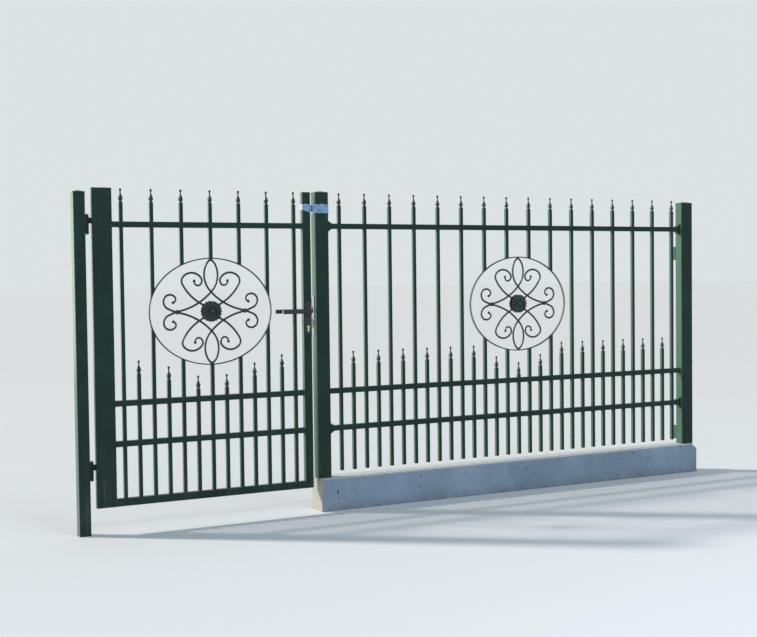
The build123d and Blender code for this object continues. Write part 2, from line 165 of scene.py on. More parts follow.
def leave():
    """Closes the piece that was being shaped."""
    bpy.ops.object.mode_set(mode="OBJECT")


def face_outwards(piece):
    shape(piece)
    bpy.ops.mesh.normals_make_consistent(inside=False)
    leave()


def settle(piece, name, body, material, smooth=30):
    """Gives a finished piece its name, finish and body, with its place in its mesh."""
    only(piece)
    bpy.ops.object.transform_apply(location=True, rotation=True, scale=True)
    bpy.ops.object.shade_smooth_by_angle(angle=radians(smooth))
    piece.name = name
    piece.data.materials.clear()
    piece.data.materials.append(material)
    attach(piece, body)
    deselect_all()


def join(pieces):
    """One mesh object from several."""
    deselect_all()
    for piece in pieces:
        piece.select_set(True)
    bpy.context.view_layer.objects.active = pieces[0]
    bpy.ops.object.join()
    return newest()


class Value:
    """A number that varies over a surface. Arithmetic on it adds Math nodes."""

    def __init__(self, graph, socket):
        self.graph = graph
        self.socket = socket

    def maths(self, operation, *values):
        inputs = dict(enumerate(values))
        return self.graph.value("ShaderNodeMath", {"operation": operation}, inputs)

    def __add__(self, other):
        return self.maths("ADD", self, other)

    def __radd__(self, other):
        return self.maths("ADD", other, self)

    def __sub__(self, other):
        return self.maths("SUBTRACT", self, other)

    def __rsub__(self, other):
        return self.maths("SUBTRACT", other, self)

    def __mul__(self, other):
        return self.maths("MULTIPLY", self, other)

    def __rmul__(self, other):
        return self.maths("MULTIPLY", other, self)

    def to_and_fro(self, span):
        """Runs from 0 to span and back, over and over."""
        return self.maths("PINGPONG", self, span)

    def between(self, low, high):
        """0 below low, 1 above high, smooth between them."""
        settings = {"interpolation_type": "SMOOTHSTEP"}
        inputs = {"Value": self, "From Min": low, "From Max": high}
        return self.graph.value("ShaderNodeMapRange", settings, inputs)

    def clipped(self):
        return self.maths("MAXIMUM", self.maths("MINIMUM", self, 1.0), 0.0)


class Graph:
    """The nodes of a finish or of the sky."""

    def __init__(self, owner):
        owner.use_nodes = True
        self.tree = owner.node_tree
        self.tree.nodes.clear()

    def node(self, kind, settings=None, inputs=None):
        new = self.tree.nodes.new(kind)
        for key, setting in (settings or {}).items():
            setattr(new, key, setting)
        for key, given in (inputs or {}).items():
            self.feed(new.inputs[key], given)
        return new

    def feed(self, socket, given):
        if isinstance(given, Value):
            given = given.socket
        if isinstance(given, bpy.types.NodeSocket):
            self.tree.links.new(given, socket)
        elif isinstance(given, tuple) and len(given) == 3 and socket.type == "RGBA":
            socket.default_value = (*given, 1)
        else:
            socket.default_value = given

    def value(self, kind, settings, inputs, output=0):
        return Value(self, self.node(kind, settings, inputs).outputs[output])


class Finish(Graph):
    """A procedural material with one Principled shader, patterned in the object's own metres."""

    def __init__(self, name):
        self.material = bpy.data.materials.new(name)
        super().__init__(self.material)
        self.shader = self.node("ShaderNodeBsdfPrincipled")
        self.node("ShaderNodeOutputMaterial", {}, {"Surface": self.shader.outputs[0]})
        where = self.node("ShaderNodeTexCoord")
        self.place = where.outputs["Object"]
        self.facing = where.outputs["Normal"]

    def stretched(self, x, y, z):
        """The object's coordinates, multiplied along each axis."""
        settings = {"operation": "MULTIPLY"}
        return self.node("ShaderNodeVectorMath", settings, {0: self.place, 1: (x, y, z)}).outputs[0]

    def noise(self, size, detail=3.0, rough=0.55, place=None):
        """Clouds of about that size in metres, from 0 to 1."""
        inputs = {"Vector": place or self.place, "Scale": 1 / size, "Detail": detail, "Roughness": rough}
        return self.value("ShaderNodeTexNoise", {}, inputs)

    def cells(self, size):
        """Distance from scattered points about that far apart."""
        inputs = {"Vector": self.place, "Scale": 1 / size}
        return self.value("ShaderNodeTexVoronoi", {}, inputs, "Distance")

    def along(self, vector, axis):
        return self.value("ShaderNodeSeparateXYZ", {}, {0: vector}, axis)

    def height(self):
        return self.along(self.place, "Z")

    def upward(self):
        """1 on faces that look up, 0 on walls and undersides."""
        return self.along(self.facing, "Z").clipped()

    def sunward(self):
        """1 on faces that look to the hinge end, where the sun stands, 0 on the front: the mask of the
        painted sunlight.
        """
        return (0 - self.along(self.facing, "X")).clipped()

    def mix(self, first, second, share):
        """From the first colour to the second as share goes from 0 to 1."""
        inputs = {mix_share: share, mix_first: first, mix_second: second}
        return self.node("ShaderNodeMix", {"data_type": "RGBA"}, inputs).outputs[mix_result]

    def bump(self, height, depth):
        """Raises the surface by height, from 0 to 1, times depth in metres."""
        inputs = {"Height": height, "Distance": depth, "Strength": 1.0}
        self.feed(self.shader.inputs["Normal"], self.node("ShaderNodeBump", {}, inputs).outputs[0])

    def surface(self, **sockets):
        for name, given in sockets.items():
            self.feed(self.shader.inputs[name.replace("_", " ")], given)
        return self.material


def weathered_paint(name, deep, faded, painted_sunlight, gloss, satin, hammered=0.0):
    """Dark green gloss enamel on steel: brushed on, painted paler as painted sunlight on the faces towards
    the sun, dusty on top, splashed low down.

    gloss is the level of its shine, satin its least roughness and hammered the depth of its dents.
    """
    finish = Finish(name)
    cloud = finish.noise(0.35, 4)
    blotch = finish.noise(0.045, 3)
    colour = finish.mix(deep, faded, (0.65 * cloud + 0.35 * blotch).between(0.42, 0.66))
    # Painted sunlight: faces towards the sun are mixed to a paler colour that stands in for the sun's light
    # and sheen on them.
    colour = finish.mix(colour, painted_sunlight, finish.sunward().between(0.35, 0.95) * (0.75 + 0.25 * blotch))
    dust_grain = finish.noise(0.012, 5, 0.7)
    dust = finish.upward().between(0.5, 0.95) * dust_grain.between(0.3, 0.75) * 0.55
    streaks = finish.noise(0.03, 4, 0.65, finish.stretched(1.0, 1.0, 0.08))
    low = 1 - (finish.height() + 0.10 * cloud).between(0.16, 0.55)
    splash = low * (0.5 * streaks.between(0.45, 0.75) + 0.5 * dust_grain.between(0.5, 0.8)) * 0.30
    wash = streaks.between(0.55, 0.85) * 0.05
    dirt = (dust + splash + wash).clipped()
    colour = finish.mix(colour, dry_dust, dirt)
    chips = finish.noise(0.0045, 3, 0.6).between(0.735, 0.755) * finish.noise(0.12, 2).between(0.55, 0.62)
    colour = finish.mix(colour, rust_brown, chips * 0.7)
    rough = satin + 0.12 * blotch + 0.45 * dirt + 0.30 * chips
    peel = finish.noise(0.0035, 2)
    if hammered:
        dents = finish.cells(0.008)
        finish.bump(0.25 * peel + dents - 0.5 * chips, hammered)
    else:
        brushed = finish.noise(0.006, 3, 0.6, finish.stretched(1.0, 1.0, 0.12))
        waves = finish.noise(0.05, 2)
        finish.bump(0.2 * peel + 0.3 * brushed + 0.5 * waves - 0.3 * chips, 0.0007)
    finish.shader.inputs["Specular IOR Level"].default_value = gloss
    finish.shader.inputs["Specular Tint"].default_value = paint_sheen
    return finish.surface(Base_Color=colour, Roughness=rough, Coat_Weight=0.1, Coat_Roughness=0.2)


def cast_concrete():
    """Concrete off rough boards, its grey tinted blue as painted shade: blotches, pits darkened with
    painted shade, seams, stains low down, and painted sunlight on the top and the end.
    """
    finish = Finish("cast_concrete")
    cloud = finish.noise(0.28, 5, 0.6)
    sand = finish.noise(0.006, 4, 0.7)
    # The grey is tinted blue to stand in for the sky-lit shade on the faces away from the sun: painted
    # shade.
    colour = finish.mix((0.25, 0.32, 0.405), (0.34, 0.42, 0.515), cloud.between(0.35, 0.68))
    pale_grains = (0.62, 0.63, 0.62)
    colour = finish.mix(colour, pale_grains, sand.between(0.55, 0.85) * 0.5)
    small = (1 - finish.cells(0.024).between(0.09, 0.14)) * finish.noise(0.12, 2).between(0.43, 0.50)
    large = (1 - finish.cells(0.055).between(0.075, 0.11)) * finish.noise(0.20, 2).between(0.38, 0.44)
    pits = (small + large).clipped()
    # Painted shade: the pits are darkened as if shadowed inside.
    painted_pit_shade = (0.055, 0.065, 0.085)
    colour = finish.mix(colour, painted_pit_shade, pits * 0.92)
    stain = finish.noise(0.07, 4, 0.6, finish.stretched(1.0, 1.0, 0.35))
    low = 1 - (finish.height() + 0.06 * stain).between(0.025, 0.10)
    damp_earth = (0.22, 0.20, 0.165)
    colour = finish.mix(colour, damp_earth, low * stain.between(0.3, 0.7) * 0.8)
    run = finish.noise(0.035, 3, 0.6, finish.stretched(1.0, 1.0, 0.12)).between(0.58, 0.75)
    run_grey = (0.23, 0.24, 0.235)
    colour = finish.mix(colour, run_grey, run * 0.35)
    # Painted sunlight: the top, and the end towards the sun, are made paler.
    painted_sunlit_top = (0.78, 0.77, 0.72)
    colour = finish.mix(colour, painted_sunlit_top, finish.upward().between(0.4, 0.9) * 0.7)
    painted_sunlit_end = (0.58, 0.54, 0.45)
    colour = finish.mix(colour, painted_sunlit_end, finish.sunward().between(0.5, 0.95) * 0.8)
    half_board = 0.046
    seam = (finish.height() + 0.004 * cloud).to_and_fro(half_board)
    seams = 1 - seam.between(0.0, 0.002)
    finish.bump(0.45 * sand + 0.35 * cloud - 1.0 * pits - 0.2 * seams, 0.003)
    return finish.surface(Base_Color=colour, Roughness=0.82 + 0.1 * sand)


def wrapped_tape():
    """Pale plastic tape, darkened and tinted blue as painted shade and darker in small patches, with
    painted sunlight where the sun falls on it.
    """
    finish = Finish("wrapped_tape")
    folds = finish.noise(0.022, 4, 0.6, finish.stretched(1.0, 1.0, 2.2))
    # The pale tape is darkened and tinted blue, standing in for the sky-lit shade on it: painted shade.
    colour = finish.mix((0.118, 0.235, 0.40), (0.25, 0.395, 0.58), folds.between(0.35, 0.62))
    # Darker in small scattered patches.
    colour = finish.mix(colour, (0.12, 0.16, 0.22), finish.noise(0.01, 4, 0.7).between(0.62, 0.8) * 0.4)
    # Painted sunlight: the faces towards the sun are made almost white.
    colour = finish.mix(colour, (0.74, 0.80, 0.88), finish.sunward().between(0.4, 0.9))
    finish.bump(folds, 0.002)
    rough = 0.40 + 0.25 * folds
    return finish.surface(Base_Color=colour, Roughness=rough, Coat_Weight=0.1, Coat_Roughness=0.3)


def zinc_plate(name, bright, dark):
    """Brushed and zinc plated steel, dulled in patches."""
    finish = Finish(name)
    brushed = finish.noise(0.004, 3, 0.6, finish.stretched(1.0, 1.0, 0.05))
    dull = finish.noise(0.018, 4, 0.6).between(0.42, 0.62)
    colour = finish.mix(bright, dark, dull)
    finish.bump(brushed, 0.0002)
    rough = 0.42 + 0.15 * brushed + 0.2 * dull
    return finish.surface(Base_Color=colour, Metallic=0.8 - 0.4 * dull, Roughness=rough)


def dulled_brass():
    """Brass of the lock cylinder, dulled outdoors."""
    finish = Finish("dulled_brass")
    dull = finish.noise(0.006, 4, 0.6).between(0.38, 0.65)
    colour = finish.mix((0.86, 0.72, 0.45), (0.58, 0.48, 0.30), dull)
    finish.bump(finish.noise(0.001, 2), 0.0001)
    return finish.surface(Base_Color=colour, Metallic=1.0 - 0.3 * dull, Roughness=0.28 + 0.25 * dull)


def lock_enamel(name, tip=None):
    """Near black enamel of the lock furniture. tip is where along X a lever is worn bright."""
    finish = Finish(name)
    patch = finish.noise(0.02, 4, 0.6)
    rubbed = finish.noise(0.004, 4, 0.7).between(0.62, 0.76)
    colour = finish.mix((0.008, 0.012, 0.012), (0.018, 0.023, 0.022), patch.between(0.4, 0.6))
    colour = finish.mix(colour, (0.30, 0.30, 0.29), rubbed * 0.3)
    bare = rubbed * 0.6
    if tip is not None:
        worn = 1 - (finish.along(finish.place, "X") + 0.002 * patch).between(tip + 0.0015, tip + 0.0045)
        colour = finish.mix(colour, (0.36, 0.38, 0.39), worn)
        bare = (bare + 0.35 * worn).clipped()
    finish.bump(finish.noise(0.0015, 2), 0.0002)
    return finish.surface(Base_Color=colour, Metallic=bare, Roughness=0.30 + 0.12 * patch)


def pale_floor():
    finish = Finish("pale_floor")
    colour = finish.mix((0.80, 0.80, 0.80), (0.83, 0.83, 0.83), finish.noise(1.6, 3))
    return finish.surface(Base_Color=colour, Roughness=0.85)


# The third colour of each finish is painted sunlight, laid on the faces towards the sun.
green = weathered_paint(
    "dark_green_enamel", deep=(0.0043, 0.022, 0.0155), faded=(0.0082, 0.034, 0.0245),
    painted_sunlight=(0.090, 0.185, 0.132), gloss=0.22, satin=0.25)
forged = weathered_paint(
    "forged_bar_enamel", deep=(0.0034, 0.0125, 0.0130), faded=(0.0085, 0.021, 0.023),
    painted_sunlight=(0.160, 0.205, 0.185), gloss=0.36, satin=0.20, hammered=0.0012)
hoop_enamel = weathered_paint(
    "hoop_enamel", deep=(0.0048, 0.018, 0.018), faded=(0.0110, 0.031, 0.031),
    painted_sunlight=(0.240, 0.290, 0.260), gloss=0.34, satin=0.22, hammered=0.0009)
# The dark green of the flowers is tinted blue to stand in for the sky they mirror: painted reflection.
flower_enamel = weathered_paint(
    "cast_flower_enamel", deep=(0.0028, 0.011, 0.018), faded=(0.0060, 0.020, 0.031),
    painted_sunlight=(0.065, 0.095, 0.110), gloss=0.60, satin=0.15)
concrete = cast_concrete()
tape = wrapped_tape()
zinc = zinc_plate("dull_zinc", (0.54, 0.57, 0.60), (0.34, 0.37, 0.39))
plug_zinc = zinc_plate("bright_zinc", (0.80, 0.81, 0.79), (0.52, 0.54, 0.53))
brass = dulled_brass()
enamel = lock_enamel("lock_enamel")
lever_enamel = lock_enamel("lever_enamel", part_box("front_lever")[0].x)

# Finish of each plain solid: by its name where it has one of its own, and else by its slot
finish_of_slot = {
    "green_paint": green,
    "concrete": concrete,
    "tape": tape,
    "lock_steel": zinc,
    "cylinder_brass": brass,
    "lock_furniture": enamel,
}
finish_of_node = {
    "leaf_ring": hoop_enamel,
    "fence_ring": hoop_enamel,
    "leaf_finials": forged,
    "fence_finials": forged,
    "front_lever": lever_enamel,
    "back_lever": lever_enamel,
}
for piece in frame["record"]["subparts"]:
    finish = finish_of_node.get(piece["node"], finish_of_slot[piece["material_slot"]])
    node = nodes[piece["node"]]
    node.data.materials.clear()
    node.data.materials.append(finish)


def arc_points(start, heading, radii, turns):
    """Points along a chain of arcs, each carrying on from the last, in the scroll's own plane."""
    x, z = start
    angle = radians(heading)
    points = [(x, z)]
    for radius, turn in zip(radii, turns):
        sweep = radians(turn)
        side = 1 if sweep > 0 else -1
        centre = (x - side * radius * sin(angle), z + side * radius * cos(angle))
        steps = max(2, round(abs(sweep) * radius / arc_step))
        for step in range(1, steps + 1):
            now = angle + sweep * step / steps
            points.append((centre[0] + side * radius * sin(now), centre[1] - side * radius * cos(now)))
        x, z = points[-1]
        angle += sweep
    return points


def circle_points(middle, across, up, radius, count):
    """Points round a circle in the plane of the two directions."""
    turns = [2 * pi * step / count for step in range(count)]
    return [middle + radius * (cos(turn) * across + sin(turn) * up) for turn in turns]


def tube(points, thickness, closed=False, smooth_rings=2):
    """Round bar through the points, as a mesh. thickness gives the radius at each point."""
    curve = bpy.data.curves.new("tube", "CURVE")
    curve.dimensions = "3D"
    curve.bevel_depth = 1.0
    curve.bevel_resolution = smooth_rings
    curve.use_fill_caps = not closed
    line = curve.splines.new("POLY")
    line.use_cyclic_u = closed
    line.points.add(len(points) - 1)
    for number, place in enumerate(points):
        line.points[number].co = (*place, 1)
        line.points[number].radius = thickness(number)
    bar = bpy.data.objects.new("tube", curve)
    bpy.context.scene.collection.objects.link(bar)
    only(bar)
    bpy.ops.object.convert(target="MESH")
    return newest()


def lump(place, radius, flatten=(1.0, 1.0, 1.0), rings=8):
    """Rounded drop of metal: a forged end or a spot of weld."""
    deselect_all()
    bpy.ops.mesh.primitive_uv_sphere_add(
        segments=2 * rings, ring_count=rings, radius=radius, location=place)
    drop = newest()
    shape(drop)
    bpy.ops.transform.resize(value=flatten)
    leave()
    bpy.ops.object.transform_apply(location=True, rotation=True, scale=True)
    return drop


def rounded_block(middle, size, rounding, steps=2):
    """Block with its edges rounded off."""
    deselect_all()
    bpy.ops.mesh.primitive_cube_add(size=1, location=middle)
    piece = newest()
    shape(piece)
    bpy.ops.transform.resize(value=size)
    if rounding:
        bpy.ops.mesh.bevel(offset=rounding, segments=steps, affect="EDGES")
    leave()
    return piece


def circle(count, radius, fill="NOTHING"):
    """Flat circle of edges round the origin, for a piece to be drawn from."""
    deselect_all()
    bpy.ops.mesh.primitive_circle_add(
        vertices=count, radius=radius, location=(0, 0, 0), fill_type=fill)
    return newest()


def turned(place, profile):
    """Piece turned about an upright axis. profile lists radius and height from its foot up."""
    piece = circle(28, profile[0][0], "NGON")
    shape(piece)
    for (narrow, low), (wide, high) in zip(profile, profile[1:]):
        bpy.ops.mesh.extrude_region_move()
        bpy.ops.transform.translate(value=(0, 0, high - low))
        bpy.ops.transform.resize(value=(wide / narrow, wide / narrow, 1))
    leave()
    face_outwards(piece)
    piece.data.transform(Matrix.Translation(place))
    return piece


def give_wall(piece, thickness, offset):
    """Makes a sheet solid. offset is -1 for a wall inside its face and 0 for one on both sides."""
    only(piece)
    wall = piece.modifiers.new("wall", "SOLIDIFY")
    wall.thickness = thickness
    wall.offset = offset
    bpy.ops.object.modifier_apply(modifier=wall.name)


def weld(points, radius=0.0022, closed=False):
    """Rippled weld bead along the points."""
    def ripple(step):
        return radius * (1 + 0.16 * sin(2.1 * step) + 0.10 * sin(5.3 * step + 1))

    return tube(points, ripple, closed, 1)


def between_points(start, end, step=0.0035):
    """Points from start towards end, without the last."""
    start, end = Vector(start), Vector(end)
    count = max(2, round((end - start).length / step))
    return [start.lerp(end, number / count) for number in range(count)]


def upright_weld(x, y, low, high):
    return weld(between_points((x, y, low), (x, y, high)))


def weld_round(x, low, high):
    """Bead round the end of a rail where it meets an upright, in the plane of its side."""
    corners = [
        (x, low.y, low.z),
        (x, low.y, high.z),
        (x, high.y, high.z),
        (x, high.y, low.z),
    ]
    points = []
    for corner, following in zip(corners, corners[1:] + corners[:1]):
        points += between_points(corner, following)
    return weld(points, closed=True)


def scroll_bar(points, centre, flip_x, flip_z):
    """Round bar along the points, hammered uneven, with a forged ball at its end."""
    places = [(centre.x + flip_x * x, 0.0, centre.z + flip_z * z) for x, z in points]
    shift = 2.0 * flip_x + flip_z
    last = len(places) - 1

    def hammered(step):
        rough = 0.045 * sin(1.9 * step + shift) + 0.035 * sin(3.7 * step + 2 * shift)
        taper = 0.14 * max(0.0, 1 - (last - step) / taper_steps)
        return bar_radius * (0.94 + rough - taper)

    return [tube(places, hammered), lump(places[-1], scroll_ball, ball_flatness, 10)]


def scrolls(side, body):
    """Scroll bars of one oval, in place of the plain solid."""
    ring_low, ring_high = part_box(side + "_ring")
    scroll_low, scroll_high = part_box(side + "_scrolls")
    centre = (ring_low + ring_high) / 2
    apex = (scroll_high.z - scroll_low.z) / 2 - bar_radius
    petal = arc_points((0, apex), 0, petal_radii, petal_turns)
    lobe = arc_points(lobe_start, lobe_heading, lobe_radii, lobe_turns)
    strides = list(zip(petal, petal[1:]))
    crossing_height = [first[1] for first, second in strides if first[0] > 0 >= second[0]][-1]
    collar_reach = -[first[0] for first, second in strides if first[1] > 0 >= second[1]][0]
    parts = []
    for way in (-1, 1):
        for flip_z in (-1, 1):
            parts += scroll_bar(petal, centre, way, flip_z)
            parts += scroll_bar(lobe, centre, way, flip_z)
        collar_place = (centre.x + way * collar_reach, 0, centre.z)
        parts.append(rounded_block(collar_place, collar_size, 0.0028, 3))
        crossing = (centre.x, 0, centre.z + way * crossing_height)
        parts.append(lump(crossing, crossing_weld, (1, 0.85, 0.9)))
        for front in (-1, 1):
            tip = (centre.x + 0.004 * front, 0.0045 * front, centre.z + way * (apex + bar_radius * 0.6))
            parts.append(lump(tip, tip_weld, (1.6, 1, 0.7)))
    piece = join(parts)
    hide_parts(side + "_scrolls")
    settle(piece, side + "_scroll_bars", body, forged, 60)


def flower_relief(share, angle):
    """Rise of the cast flower, as a share of its depth, and how far its rim is drawn in."""
    crest = abs(cos(petal_count * angle / 2)) ** 0.6
    inner_crest = abs(sin(petal_count * angle / 2)) ** 0.6
    dome = 0.04 + 0.74 * sqrt(max(0.0, 1 - (0.94 * share) ** 2))
    if share > outer_petals_from:
        out = (share - outer_petals_from) / (1 - outer_petals_from)
        rise = dome + 0.16 * crest * sin(pi * (0.15 + 0.75 * out)) - 0.10 * (1 - crest)
        return rise, 1 - 0.11 * (1 - crest) * out ** 2
    if share > inner_petals_from:
        out = (share - inner_petals_from) / (outer_petals_from - inner_petals_from)
        rise = dome + 0.20 * inner_crest * sin(pi * (0.10 + 0.72 * out)) - 0.05 * (1 - inner_crest)
        return rise, 1.0
    if share > button_edge:
        out = (share - button_edge) / (inner_petals_from - button_edge)
        return dome + 0.12 * sin(pi * out), 1.0
    return 0.70 + 0.29 * sqrt(max(0.0, 1 - (share / 0.21) ** 2)), 1.0


def rosette_face(side, front):
    """Cast flower: two rings of ridged petals on a dome, round a button. front is -1 or 1."""
    low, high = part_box(side + "_rosettes")
    centre = (low + high) / 2
    reach = (high.x - low.x) / 2
    depth = high.y - bar_radius
    flower = circle(petal_count * 12, reach)
    shape(flower)
    for ring in range(flower_rings, 1, -1):
        bpy.ops.mesh.extrude_region_move()
        share = (ring - 1) / ring
        bpy.ops.transform.resize(value=(share, share, 1))
    bpy.ops.mesh.fill()
    leave()
    for corner in flower.data.vertices:
        x, y, _ = corner.co
        rise, pull = flower_relief(sqrt(x * x + y * y) / reach, atan2(y, x))
        corner.co = (x * pull, y * pull, depth * min(1.0, max(0.0, rise)))
    face_outwards(flower)
    if flower.data.polygons[0].normal.z < 0:
        shape(flower)
        bpy.ops.mesh.flip_normals()
        leave()
    give_wall(flower, 0.002, -1)
    turn = Matrix.Rotation(-front * pi / 2, 4, "X")
    move = Matrix.Translation((centre.x, front * bar_radius, centre.z))
    flower.data.transform(move @ turn)
    return flower


def rosettes(side, body):
    """Cast flowers on both faces of one oval, in place of the plain ones."""
    piece = join([rosette_face(side, -1), rosette_face(side, 1)])
    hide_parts(side + "_rosettes")
    settle(piece, side + "_rosette_flowers", body, flower_enamel, 45)


def ring_welds(side, body, seats):
    """Beads where the tall pickets end on the ring, above and below."""
    ring_low, ring_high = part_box(side + "_ring")
    centre = (ring_low + ring_high) / 2
    parts = []
    for seat in seats:
        acrosses = [seat + step * ring_bead for step in range(-5, 6)]
        acrosses = [across for across in acrosses if abs(across) <= ring_half_width - 0.002]
        if len(acrosses) < 3:
            continue
        for flip_z in (-1, 1):
            for front in (-1, 1):
                points = []
                for across in acrosses:
                    rise = ring_half_height * sqrt(1 - (across / ring_half_width) ** 2) + 0.001
                    points.append((centre.x + across, front * ring_face, centre.z + flip_z * rise))
                parts.append(weld(points, ring_bead))
    settle(join(parts), side + "_ring_welds", body, forged, 60)


def rail_welds(name, body, rails, ends):
    """Beads round the rail ends on the uprights."""
    parts = [weld_round(x, *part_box(rail)) for rail in rails for x in ends]
    settle(join(parts), name, body, green, 60)


def screw(place, axis, radius=0.0038):
    """Low screw head with a round driver hole, about a millimetre proud of its plate."""
    deselect_all()
    bpy.ops.mesh.primitive_cylinder_add(vertices=20, radius=radius, depth=0.0012, location=(0, 0, 0))
    head = newest()
    shape(head, "FACE")
    bpy.ops.mesh.select_all(action="DESELECT")
    leave()
    for face in head.data.polygons:
        face.select = face.normal.z > 0.9
    bpy.ops.object.mode_set(mode="EDIT")
    bpy.ops.mesh.inset(thickness=radius * 0.25)
    bpy.ops.transform.translate(value=(0, 0, 0.0004))
    bpy.ops.mesh.inset(thickness=radius * 0.30)
    bpy.ops.mesh.inset(thickness=radius * 0.06)
    bpy.ops.transform.translate(value=(0, 0, -0.0011))
    leave()
    turn = Vector(axis).to_track_quat("Z", "Y").to_matrix().to_4x4()
    head.data.transform(Matrix.Translation(place) @ turn)
    return head


def lock_details():
    """Screws of the lock plates, the key plugs, and the screws on both sides of the gap."""
    low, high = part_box("front_lock_plate")
    back_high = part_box("back_lock_plate")[1]
    middle = (low.x + high.x) / 2
    heads = []
    for z in (low.z + plate_screw_inset, high.z - plate_screw_inset):
        heads.append(screw((middle, low.y - 0.0002, z), (0, -1, 0)))
        heads.append(screw((middle, back_high.y + 0.0002, z), (0, 1, 0)))
    settle(join(heads), "lock_plate_screws", "leaf", enamel, 30)

    low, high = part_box("lock_cylinder")
    parts = []
    plug_z = high.z - key_plug_below_top
    for front, y in ((-1, low.y), (1, high.y)):
        plug = Vector((middle, y + front * 0.0001, plug_z))
        rim = circle_points(plug, Vector((1, 0, 0)), Vector((0, 0, 1)), key_plug_radius, 28)
        parts.append(tube(rim, lambda step: 0.0007, True, 1))
        slot_foot = plug_z - key_slot_half
        slot = [(middle, y + front * 0.0002, slot_foot + 0.0012 * step) for step in range(8)]
        parts.append(tube(slot, lambda step: 0.0006 + 0.0003 * sin(2.4 * step), False, 1))
    settle(join(parts), "key_plugs", "leaf", enamel, 40)

    low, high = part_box("strike_plate")
    heads = []
    for z in (low.z + strike_screw_inset, high.z - strike_screw_inset):
        heads.append(screw((low.x - 0.0002, (low.y + high.y) / 2, z), (-1, 0, 0), 0.0042))
    settle(join(heads), "strike_plate_screws", "posts_and_fence", zinc, 30)

    low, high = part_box("lock_faceplate")
    heads = []
    for z in (low.z + plate_screw_inset, high.z - plate_screw_inset):
        heads.append(screw((high.x + 0.0002, 0, z), (1, 0, 0), 0.0036))
    settle(join(heads), "faceplate_screws", "leaf", zinc, 30)


def bored_plate(node, name, body, mouths):
    """Plate with rounded edges and openings cut through it, in place of the plain one.

    mouths lists the height of each opening, its half height and its half width.
    """
    low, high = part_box(node)
    middle = (low + high) / 2
    plate = rounded_block(middle, high - low, 0.0008)
    cutters = []
    for z, half_height, half_width in mouths:
        cutter_size = (0.05, 2 * half_width, 2 * half_height)
        cutters.append(rounded_block((middle.x, middle.y, z), cutter_size, 0.0))
    cutter = join(cutters)
    only(plate)
    bores = plate.modifiers.new("bores", "BOOLEAN")
    bores.operation = "DIFFERENCE"
    bores.solver = "EXACT"
    bores.object = cutter
    bpy.ops.object.modifier_apply(modifier=bores.name)
    bpy.data.objects.remove(cutter, do_unlink=True)
    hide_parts(node)
    settle(plate, name, body, zinc, 30)


def plate_openings():
    """Openings for the latch and the dead bolt, in the strike plate and the lock's faceplate."""
    low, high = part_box("strike_plate")
    latch = high.z - latch_below_top
    bolt = low.z + bolt_above_foot
    strike_mouths = [(latch, 0.014, 0.0065), (bolt, 0.021, 0.0065)]
    bored_plate("strike_plate", "bored_strike_plate", "posts_and_fence", strike_mouths)
    face_mouths = [(latch, 0.012, 0.0055), (bolt, 0.016, 0.0055)]
    bored_plate("lock_faceplate", "bored_faceplate", "leaf", face_mouths)


def hinge_details(side):
    """Washer between the two halves, a bright domed plug at each end and beads at the lugs."""
    pin_low, pin_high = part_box(side + "_hinge_pin")
    socket_low, socket_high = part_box(side + "_hinge_socket")
    axis_x = pin_high.x - barrel_radius
    axis_y = (pin_low.y + pin_high.y) / 2
    split = socket_low.z
    plugs = (
        (socket_high.z, "leaf", "_hinge_top_plug"),
        (pin_low.z, "posts_and_fence", "_hinge_foot_plug"),
    )
    for height, body, name in plugs:
        dome = lump((axis_x, axis_y, height), hinge_plug_radius, (1, 1, 0.55), 12)
        settle(dome, side + name, body, plug_zinc, 40)
    washer_place = Vector((axis_x, axis_y, split + 0.0014))
    rim = circle_points(washer_place, Vector((1, 0, 0)), Vector((0, 1, 0)), washer_radius, 32)
    upper = [tube(rim, lambda step: 0.0012, True, 1)]
    lower = []
    for y in (axis_y - lug_half_width, axis_y + lug_half_width):
        upper.append(upright_weld(socket_high.x - 0.0008, y, split + 0.006, split + 0.032))
        lower.append(upright_weld(pin_low.x + 0.0008, y, split - 0.034, split - 0.006))
    settle(join(upper), side + "_hinge_cap", "leaf", green, 40)
    settle(join(lower), side + "_hinge_weld", "posts_and_fence", green, 40)


def end_post_brackets():
    """Two plates welded to the back of the end post, each ending in a knuckled eye."""
    low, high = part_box("end_post")
    x = low.x + 0.0042
    plates = []
    eyes = []
    for middle in bracket_heights:
        plates.append(rounded_block((x, high.y + 0.0100, middle), bracket_plate, 0.0010))
        for reach in (-0.0036, 0.0036):
            plates.append(upright_weld(x + reach, high.y + 0.0004, middle - 0.040, middle + 0.040))
        eyes.append(turned((x, high.y + 0.0288, middle - 0.0442), eye_profile))
    settle(join(plates), "end_post_bracket_plates", "posts_and_fence", green, 40)
    settle(join(eyes), "end_post_bracket_eyes", "posts_and_fence", plug_zinc, 40)


def tape_course(travel, half_x, half_y):
    """Place on the tape's round cornered course about an upright, and the way out from it there."""
    place = Vector((-half_x, -half_y))
    outward = Vector((0, -1))
    sides = [(half_x * 2, (1, 0)), (half_y * 2, (0, 1)), (half_x * 2, (-1, 0)), (half_y * 2, (0, -1))]
    for length, way in sides:
        if travel <= length:
            place += Vector(way) * travel
            outward = Vector((way[1], -way[0]))
            break
        travel -= length
        place += Vector(way) * length
    inner_x = max(-half_x + tape_corner, min(half_x - tape_corner, place.x))
    inner_y = max(-half_y + tape_corner, min(half_y - tape_corner, place.y))
    spread = Vector((place.x - inner_x, place.y - inner_y))
    if spread.length > 1e-6:
        outward = spread.normalized()
        place = Vector((inner_x, inner_y)) + outward * tape_corner
    return place, outward


